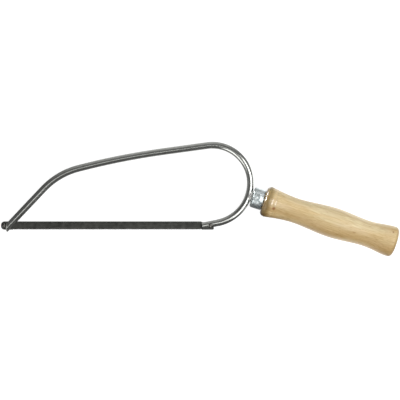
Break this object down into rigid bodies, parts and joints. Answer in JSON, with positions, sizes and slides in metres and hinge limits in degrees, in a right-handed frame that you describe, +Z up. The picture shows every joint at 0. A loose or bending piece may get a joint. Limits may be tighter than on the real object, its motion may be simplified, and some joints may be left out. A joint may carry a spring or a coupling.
{
  "type": "mini hacksaw",
  "caption": "Small hacksaw: a sprung bow of round wire holds a thin pinned toothed blade across its slit ends, and a turned wooden handle sits on a ferruled tang behind the loop.",
  "frame": {"origin": "middle of the bounding box on the plane the saw lies on, which touches the lowest line of the handle", "axes": "+X along the blade towards the handle, +Y away from the teeth, +Z up across the flat bow"},
  "size_m": [0.2892, 0.0832, 0.0224],
  "materials": {
    "plated_wire": "bright nickel plate on drawn round wire",
    "blade_steel": "blackened hardened strip with bright tooth tips",
    "pin_steel": "cut steel wire",
    "tang_steel": "bare drawn rod",
    "zinc_plate": "bright mottled zinc plate on a drawn cup",
    "beech": "clear varnish over turned pale wood"
  },
  "bodies": {
    "saw_frame": {"bow_frame": "plated_wire", "tang": "tang_steel", "ferrule": "zinc_plate", "handle": "beech"},
    "rear_pin": {"rear_blade_pin": "pin_steel"},
    "blade": {"saw_blade": "blade_steel", "front_blade_pin": "pin_steel"}
  },
  "joints": [
    {"name": "blade_lift_out", "type": "slide", "parent": "saw_frame", "child": "rear_pin", "axis": [0, -1, 0], "range_m": [0, 0.012]},
    {"name": "blade_swing", "type": "hinge", "parent": "rear_pin", "child": "blade", "pos_m": [0.00774, -0.01926, 0.0112], "axis": [0, 0, 1], "range_deg": [0, 90]}
  ]
}
